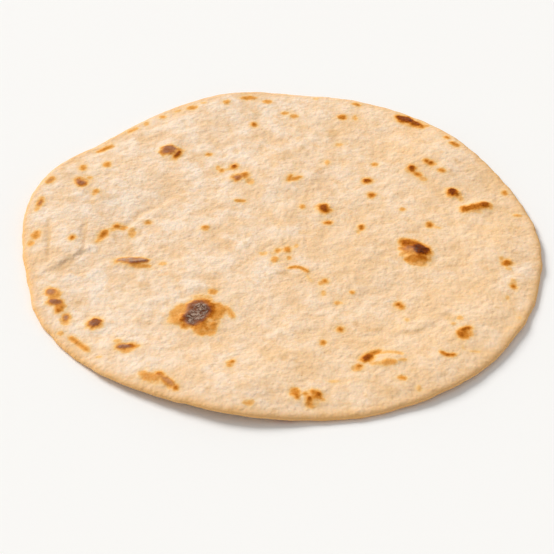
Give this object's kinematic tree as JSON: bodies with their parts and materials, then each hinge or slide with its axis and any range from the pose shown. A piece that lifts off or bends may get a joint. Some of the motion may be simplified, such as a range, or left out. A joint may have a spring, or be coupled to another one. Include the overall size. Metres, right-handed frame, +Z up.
{
  "type": "chapati flatbread",
  "caption": "Thin round unleavened wheat bread with brown griddle spots, a soft rounded rim and shallow waves, lying flat to stack, serve or fold.",
  "frame": {"origin": "under the middle of the disc, on the surface that the bread lies on", "axes": "+Z up through the thickness, browned side up; +X and +Y lie across the disc, and -Y is the front edge"},
  "size_m": [0.1808, 0.1786, 0.0047],
  "materials": {
    "dough": "matte"
  },
  "bodies": {
    "root": {"chapati": "dough"}
  },
  "joints": []
}
